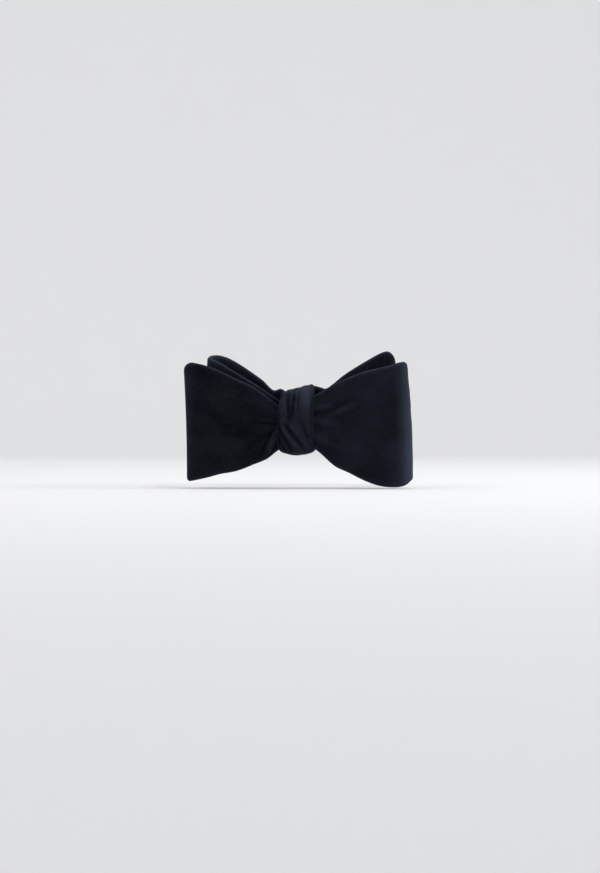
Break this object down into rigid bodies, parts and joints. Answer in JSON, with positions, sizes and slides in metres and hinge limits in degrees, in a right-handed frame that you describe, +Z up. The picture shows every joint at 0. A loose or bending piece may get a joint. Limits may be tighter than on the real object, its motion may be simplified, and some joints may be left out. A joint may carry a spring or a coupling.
{
  "type": "bow tie",
  "caption": "Tied velvet bow tie with two flat ends and two folded loops gathered into a knot, on a neck band with an adjusting slide, hook and eye.",
  "frame": {"origin": "middle of the neck loop, on its axis at half the band's height", "axes": "+Z up the neck, the bow faces -Y, +X to the right of someone looking at the bow"},
  "size_m": [0.1218, 0.1452, 0.0699],
  "materials": {
    "black_velvet": "cotton velvet, short dense pile",
    "black_satin": "satin weave ribbon and lining",
    "interlining": "felted wool interlining",
    "nickel_plate": "nickel-plated brass wire and plate",
    "black_thread": "twisted polyester thread",
    "label": "blank woven satin label"
  },
  "bodies": {
    "bow": {"knot_wrap": "black_velvet", "knot_wrap_interlining": "interlining", "front_piece_gathers": "black_velvet", "rear_piece_gathers": "black_velvet", "right_band_front_lining": "black_satin", "right_band_front_interlining": "interlining", "right_band_front_velvet": "black_velvet", "left_band_front_lining": "black_satin", "left_band_front_interlining": "interlining", "left_band_front_velvet": "black_velvet"},
    "front_left_end": {"front_left_end_front_velvet": "black_velvet", "front_left_end_interlining": "interlining", "front_left_end_back_velvet": "black_velvet"},
    "front_right_loop": {"front_right_loop_outer_velvet": "black_velvet", "front_right_loop_interlining": "interlining", "front_right_loop_inner_velvet": "black_velvet"},
    "rear_left_loop": {"rear_left_loop_outer_velvet": "black_velvet", "rear_left_loop_interlining": "interlining", "rear_left_loop_inner_velvet": "black_velvet"},
    "rear_right_end": {"rear_right_end_front_velvet": "black_velvet", "rear_right_end_interlining": "interlining", "rear_right_end_back_velvet": "black_velvet"},
    "right_band": {"right_band_back_lining": "black_satin", "right_band_back_interlining": "interlining", "right_band_back_velvet": "black_velvet", "eye_tab": "black_satin", "blank_label": "label", "bar_tacks": "black_thread"},
    "left_band": {"left_band_back_lining": "black_satin", "left_band_back_interlining": "interlining", "left_band_back_velvet": "black_velvet", "strap_to_slide": "black_satin"},
    "slide": {"slide": "nickel_plate", "strap_return": "black_satin"},
    "strap_loop": {"strap_loop": "black_satin"},
    "hook": {"hook": "nickel_plate"},
    "eye": {"eye": "nickel_plate"}
  },
  "joints": [
    {"name": "front_left_end_flex", "type": "hinge", "parent": "bow", "child": "front_left_end", "pos_m": [-0.0098, -0.07427, 0], "axis": [0, 0, 1], "range_deg": [0, 12]},
    {"name": "front_right_loop_flex", "type": "hinge", "parent": "bow", "child": "front_right_loop", "pos_m": [0.0098, -0.07427, 0], "axis": [0, 0, -1], "range_deg": [0, 12]},
    {"name": "rear_left_loop_flex", "type": "hinge", "parent": "bow", "child": "rear_left_loop", "pos_m": [-0.0098, -0.06587, 0], "axis": [0, 0, -1], "range_deg": [0, 8]},
    {"name": "rear_right_end_flex", "type": "hinge", "parent": "bow", "child": "rear_right_end", "pos_m": [0.0098, -0.06587, 0], "axis": [0, 0, 1], "range_deg": [0, 8]},
    {"name": "right_band_open", "type": "hinge", "parent": "bow", "child": "right_band", "pos_m": [0.05269, -0.02801, 0], "axis": [0, 0, -1], "range_deg": [0, 60]},
    {"name": "left_band_open", "type": "hinge", "parent": "bow", "child": "left_band", "pos_m": [-0.05269, -0.02801, 0], "axis": [0, 0, 1], "range_deg": [0, 60]},
    {"name": "slide_travel", "type": "hinge", "parent": "left_band", "child": "slide", "pos_m": [0, 0, 0], "axis": [0, 0, 1], "range_deg": [0, 26]},
    {"name": "strap_loop_travel", "type": "hinge", "parent": "left_band", "child": "strap_loop", "pos_m": [0, 0, 0], "axis": [0, 0, 1], "range_deg": [0, 13]},
    {"name": "hook_swing", "type": "hinge", "parent": "strap_loop", "child": "hook", "pos_m": [-0.00775, 0.05957, 0], "axis": [0, 0, 1], "range_deg": [0, 60]},
    {"name": "eye_swing", "type": "hinge", "parent": "right_band", "child": "eye", "pos_m": [0.01399, 0.05831, 0], "axis": [0, 0, -1], "range_deg": [0, 60]}
  ],
  "couplings": [
    {"joint": "strap_loop_travel", "follows": "slide_travel", "ratio": 0.5}
  ]
}
